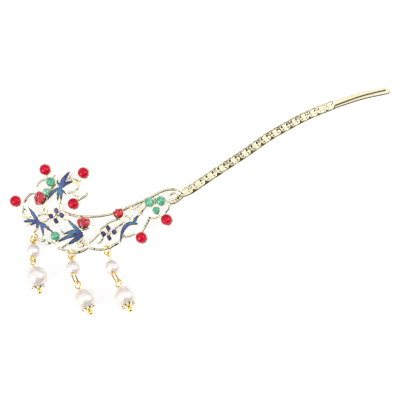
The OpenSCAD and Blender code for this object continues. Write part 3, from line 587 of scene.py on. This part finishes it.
def buildStick():
    s = np.arange(0.3, stickLength - 0.02, stickSettings["step"])
    s = np.append(s, stickLength - 0.01)
    x, y = stickAt(s)
    beforeX, beforeY = stickAt(np.maximum(s - 0.5, 0))
    afterX, afterY = stickAt(np.minimum(s + 0.5, stickLength))
    run = np.hypot(afterX - beforeX, afterY - beforeY)
    sideX = -(afterY - beforeY) / run
    sideY = (afterX - beforeX) / run
    wide, tall, plain, share = stickSection(s)
    front = np.linspace(-0.5, 0.5, stickSettings["across"])[None]
    # The upper edge is scalloped, with two scallops to a motif
    scallop = 1 + 0.1 * (np.abs(np.sin(2 * math.pi * s / motifPitch)) - 0.4) * (1 - plain)
    v = front * wide[:, None] * np.where(front > 0, scallop[:, None], 1)
    height, hollow = stickFace(s, front, v, tall, plain, share)
    rows, cols = v.shape
    face = np.stack([x[:, None] + sideX[:, None] * v, y[:, None] + sideY[:, None] * v, height], 2)
    back = [np.stack([x + sideX * side * wide, y + sideY * side * wide, level * tall], 1)
            for side, level in ((-0.5, 0.4), (-0.3, 0.0), (0.3, 0.0), (0.5, 0.4))]
    verts = np.concatenate([face.reshape(-1, 3)] + back) * mm
    piece = meshFrom("stick_scrollwork", verts, stickFaces(rows, cols), [paleGold])
    setPointValues(piece, "hollow", np.concatenate([hollow.ravel(), np.zeros(len(back) * rows)]))
    smoothShade(piece)
    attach(piece, "root")


# Each rose: where it starts, heading of the bloom, size
rosePlaces = [(-69.6, 0.9, 170, 0.98), (-52.4, -12.2, 93, 0.95), (-36, -7.3, 115, 0.8)]
# Each petal row: low and edge height over the seat, then reach, turn and half width of its petals.
# Covered is how far the row above hides each row, and that far each petal is painted in shade.
roseSettings = {
    "seat": 2.95, "rows": [(0.05, 0.3, [(3.75, 27, 1.5), (4.05, 1, 1.4), (3.75, -27, 1.5)]),
                           (0.2, 0.7, [(2.8, 36, 1.3), (2.8, -36, 1.3)]),
                           (0.3, 1.25, [(2.15, -3, 1.7)])],
    "covered": (3.6, 1.9, 0.1), "thick": 0.3, "foot": 0.5, "bow": 0.5, "stagger": 0.07,
    "lip": 0.3, "lipWidth": 0.6, "rollWidth": 0.7, "rim": 0.12, "across": 16, "along": 18}


# Places along a petal from its foot to its lip, closer together where the lip curves
def petalRuns(reach, half):
    n = roseSettings["along"] // 2
    lastTurn = math.asin(1 - roseSettings["rim"] / half)
    lip = [reach + half * math.sin(t) for t in np.linspace(0, lastTurn, n + 1)[1:]]
    return list(np.linspace(0, reach, n)) + lip + [reach + half]


def petalHalfWidth(run, reach, half):
    if run > reach:
        return half * math.sqrt(max(0.0004, 1 - ((run - reach) / half) ** 2))
    foot = roseSettings["foot"]
    return foot + (half - foot) * math.sin(min(1, run / reach) * math.pi / 2) ** 1.5


# Faces of one petal with a front and a back layer. Its rim and its back show gold.
def petalFaces(start, rows, across):
    def at(isFront, b, a):
        return start + (0 if isFront else rows * (across + 1)) + b * (across + 1) + a

    faces, golden = [], []
    for b in range(rows - 1):
        for a in range(across):
            faces.append((at(1, b, a), at(1, b + 1, a), at(1, b + 1, a + 1), at(1, b, a + 1)))
            golden.append(a in (0, across - 1) or b == rows - 2)
            faces.append((at(0, b, a), at(0, b, a + 1), at(0, b + 1, a + 1), at(0, b + 1, a)))
            golden.append(True)
        for a, flip in ((0, 1), (across, -1)):
            faces.append((at(1, b, a), at(0, b, a), at(0, b + 1, a), at(1, b + 1, a))[::flip])
            golden.append(True)
    last = rows - 1
    for a in range(across):
        faces.append((at(1, 0, a), at(1, 0, a + 1), at(0, 0, a + 1), at(0, 0, a)))
        faces.append((at(1, last, a), at(0, last, a), at(0, last, a + 1), at(1, last, a + 1)))
        golden += [True, True]
    return faces, golden


# A rose lies on its side: rows of bowed petals, each with a rolled lip and a thin gold edge
def buildRose(index):
    rose = roseSettings
    x0, y0, turn, size = rosePlaces[index]
    verts, faces, golden, lipHighlights, shadeUnderRows, tones = [], [], [], [], [], []

    def addPoint(isFront, run, a, w, petal):
        number, length, angle, low, edgeZ, covered = petal
        toEdge = min((1 - abs(a)) * w, length - run)
        out = min(1, run / length)
        roll = math.sin(math.pi * min(1, max(0, toEdge) / rose["rollWidth"] * 0.75 + 0.25))
        bow = rose["bow"] * math.sqrt(max(0, 1 - a * a * 0.9)) * math.sin(out * math.pi * 0.6)
        z = edgeZ + rose["thick"] + bow + rose["lip"] * roll * out ** 2 if isFront else low
        z += rose["seat"] + number * rose["stagger"]
        gx, gy = run * size, a * w * size
        verts.append(((x0 + gx * math.cos(angle) - gy * math.sin(angle)) * mm,
                      (y0 + gx * math.sin(angle) + gy * math.cos(angle)) * mm, z * mm))
        # Painted highlight near the lip, and painted shade where the row above covers the petal
        lipHighlights.append(max(0, 1 - toEdge / rose["lipWidth"]) * out)
        shadeUnderRows.append(1 - min(1, max(0, run - covered)))
        tones.append((number * 0.62 + index * 0.3 + edgeZ * 0.5) % 1)

    for (low, edgeZ, petals), covered in zip(rose["rows"], rose["covered"]):
        for number, (reach, petalTurn, half) in enumerate(petals):
            petal = (number, reach + half, math.radians(turn + petalTurn), low, edgeZ, covered)
            start = len(verts)
            runs = petalRuns(reach, half)
            for isFront in (1, 0):
                for run in runs:
                    w = petalHalfWidth(run, reach, half)
                    rimShare = min(0.45, rose["rim"] / w)
                    inner = np.linspace(-1 + rimShare, 1 - rimShare, rose["across"] - 1)
                    for a in [-1, *inner, 1]:
                        addPoint(isFront, run, a, w, petal)
            newFaces, newGolden = petalFaces(start, len(runs), rose["across"])
            faces += newFaces
            golden += newGolden
    piece = meshFrom(f"rose_{index + 1}_petals", verts, faces, [roseEnamel, paleGold])
    piece.data.polygons.foreach_set("material_index", [int(g) for g in golden])
    setPointValues(piece, "lip", lipHighlights)
    setPointValues(piece, "hollow", shadeUnderRows)
    setPointValues(piece, "tone", tones)
    smoothShade(piece)
    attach(piece, "root")
    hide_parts(f"rose_{index + 1}")


capSettings = {"voxel": 0.09, "smooth": 3, "petals": 10, "bulge": 0.05, "bloom": 7.2,
               "slit": 0.22, "slitSoft": 0.12, "slitFrom": 0.4}  # slits as shares of petal and radius


# Bead caps: the cut petals get a scooped, rounded face, and painted shade in the slits between them
def buildCap(number):
    cap = capSettings
    node = f"bead_cap_{number}"
    piece = copyOfNode(node, node + "_petals", [stampedGold])
    reskin(piece, cap["voxel"], cap["smooth"])
    pearlLow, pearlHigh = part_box(f"large_pearl_{number}")
    co = coordsOf(piece.data).astype(float)
    centre = co.mean(0)
    axis = centre - np.array((pearlLow + pearlHigh) / 2)
    axis /= np.linalg.norm(axis)
    sideways = np.cross(axis, (0, 0, 1))
    sideways /= np.linalg.norm(sideways)
    upways = np.cross(axis, sideways)
    flat = co - centre
    turn = np.arctan2(flat @ upways, flat @ sideways) * cap["petals"]
    swell = np.clip(np.hypot(flat @ sideways, flat @ upways) / (cap["bloom"] / 2 * mm), 0, 1)
    # The wave is 1 on the middle of each petal, as the rim's points show them, and 0 between two
    wave = np.abs(np.cos((turn - np.angle(np.exp(1j * turn[swell > 0.75]).sum())) / 2))
    co += axis[None] * (wave * np.sin(swell * math.pi * 0.8) * cap["bulge"] * mm)[:, None]
    movePoints(piece.data, co)
    # Painted shade in the slits between the petals
    slit = np.clip((cap["slit"] + 0.5 * swell - wave) / cap["slitSoft"], 0, 1)
    setPointValues(piece, "hollow", slit * np.clip((swell - cap["slitFrom"]) / 0.08, 0, 1))
    smoothShade(piece)
    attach(piece, "root")
    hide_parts(node)


enamelSettings = {"voxel": 0.06, "smooth": 2, "dome": 0.16, "shoulder": 0.5}


# Enamel fill: its top sinks towards its edge, as fired enamel does
def buildEnamel(node, mat):
    enamel = enamelSettings
    piece = copyOfNode(node, node + "_domed", [mat])
    reskin(piece, enamel["voxel"], enamel["smooth"])
    co = coordsOf(piece.data).astype(float)
    top, low = co[:, 2].max(), co[:, 2].min()
    # Points half way up its sides mark the edge
    side = (co[:, 2] > low + 0.35 * (top - low)) & (co[:, 2] < low + 0.65 * (top - low))
    tree = kdtree.KDTree(int(side.sum()))
    for i, p in enumerate(co[side]):
        tree.insert((p[0], p[1], 0), i)
    tree.balance()
    reach = np.array([tree.find((p[0], p[1], 0))[2] for p in co])
    inward = np.clip(reach / (enamel["shoulder"] * mm), 0, 1)
    upper = co[:, 2] > low + 0.6 * (top - low)
    co[upper, 2] -= (1 - np.sin(inward[upper] * math.pi / 2)) * enamel["dome"] * mm
    movePoints(piece.data, co)
    setPointValues(piece, "inward", inward)
    smoothShade(piece)
    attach(piece, "root")
    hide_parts(node)


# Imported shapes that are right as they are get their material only
def dress(node, mat):
    piece = nodes[node]
    piece.data.materials.clear()
    piece.data.materials.append(mat)


# The picture is mmAcross wide at headHeight over the table
cameraSettings = {"height": 1600.0, "lens": 320.0, "middle": (-0.135, 0.61), "mmAcross": 180.0,
                  "headHeight": 3.0}


def buildCamera():
    view = cameraSettings
    data = bpy.data.cameras.new("camera")
    data.lens = view["lens"]
    data.sensor_width = view["mmAcross"] * view["lens"] / (view["height"] - view["headHeight"])
    data.clip_start = 0.05
    data.clip_end = 20
    camera = bpy.data.objects.new("camera", data)
    x, y = view["middle"]
    camera.location = (x * mm, y * mm, view["height"] * mm)
    scene.collection.objects.link(camera)
    scene.camera = camera


# Places and sizes in metres, power in watts. The card and the flag are dark shapes in the tent: the
# way they lie, then where they start and where they are darkest.
lightSettings = {
    "softbox_left": {"place": (-0.6, -0.385, 0.49), "size": 0.42, "power": 5.0, "tint": "#FFFDF8"},
    "softbox_right": {"place": (0.64, 0.18, 0.54), "size": 0.4, "power": 4.4, "tint": "#FAFCFF"},
    "floorSize": 6.0, "floorGlow": 0.7, "tentGlow": 1.0,
    "tent": [(0.0, 0.28), (0.25, 0.4), (0.5, 0.76), (0.72, 1.02)],
    "card": ((0.18, -0.66, 0.73), [(0.87, "#FFFFFF"), (0.955, "#6A4E46")]),
    "flag": ((0.62, -0.75, 0.22), [(0.42, "#FFFFFF"), (0.75, "#827868")])}


# Studio floor: matt paper that glows a little, so that it photographs as white
def floorMaterial():
    mat = newMaterial("studio_floor")
    coords = addNode(mat, "ShaderNodeTexCoord")
    tone = driftingTint(mat, coords, 60.0, [(0.3, "#9A9A9A"), (0.7, "#A0A0A0")], 2)
    return surface(mat, {"Roughness": 0.9, "Emission Color": (1, 1, 1, 1),
                         "Emission Strength": lightSettings["floorGlow"]}, {"Base Color": (tone, "Color")})


# Softboxes face the middle of the table
def addSoftbox(name):
    box = lightSettings[name]
    data = bpy.data.lights.new(name, "AREA")
    data.shape = "RECTANGLE"
    data.size = box["size"]
    data.size_y = box["size"]
    data.energy = box["power"]
    data.color = linear(box["tint"])[:3]
    lamp = bpy.data.objects.new(name, data)
    lamp.location = box["place"]
    lamp.rotation_euler = (-Vector(box["place"])).to_track_quat("-Z", "Y").to_euler()
    scene.collection.objects.link(lamp)


# Pale tent round the table, darker near its foot, where the photographer stands and at a side flag
def buildTent():
    world = bpy.data.worlds.new("studio")
    scene.world = world
    world.use_nodes = True
    world.node_tree.nodes.clear()
    coords = addNode(world, "ShaderNodeTexCoord")
    parts = addNode(world, "ShaderNodeSeparateXYZ", None, {0: (coords, "Generated")})
    tent = addNode(world, "ShaderNodeValToRGB", {"stops": lightSettings["tent"]}, {"Fac": (parts, "Z")})
    shaded = (tent, "Color")
    for toward, stops in (lightSettings["card"], lightSettings["flag"]):
        facing = addNode(world, "ShaderNodeVectorMath", {"operation": "DOT_PRODUCT", 1: toward},
                         {0: (coords, "Generated")})
        shape = addNode(world, "ShaderNodeValToRGB", {"stops": stops}, {"Fac": (facing, "Value")})
        mixed = addNode(world, "ShaderNodeMix", {"data_type": "RGBA", "blend_type": "MULTIPLY", 0: 1.0},
                        {6: shaded, 7: (shape, "Color")})
        shaded = (mixed, 2)
    back = addNode(world, "ShaderNodeBackground", {"Strength": lightSettings["tentGlow"]},
                   {"Color": shaded})
    addNode(world, "ShaderNodeOutputWorld", None, {"Surface": (back, "Background")})


def buildStudio():
    bpy.ops.mesh.primitive_plane_add(size=lightSettings["floorSize"])
    floor = bpy.context.object
    floor.name = "studio_floor"
    floor.data.materials.append(floorMaterial())
    addSoftbox("softbox_left")
    addSoftbox("softbox_right")
    buildTent()
    scene.view_settings.view_transform = "Standard"
    scene.view_settings.look = "None"


buildCamera()
buildStudio()
print("studio done")
buildCastFrame()
print("frame done")
buildStick()
print("stick done")
for index in range(3):
    buildRose(index)
    buildCap(index + 1)
print("roses and caps done")
for letter in "abcd":
    buildEnamel("spray_" + letter, navyEnamel)
for number in "12":
    buildEnamel("flower_" + number + "_enamel", violetEnamel)
print("enamel done")
for number in range(1, 4):
    dress(f"small_pearl_{number}", shellPearl)
    dress(f"large_pearl_{number}", shellPearl)
    for kind in ("jump_ring", "eye_pin", "head_pin"):
        dress(f"{kind}_{number}", richGold)
for number in range(1, 7):
    dress(f"red_bead_{number}", redAgate)
    dress(f"green_bead_{number}", greenJade)
print("beads and drops done")
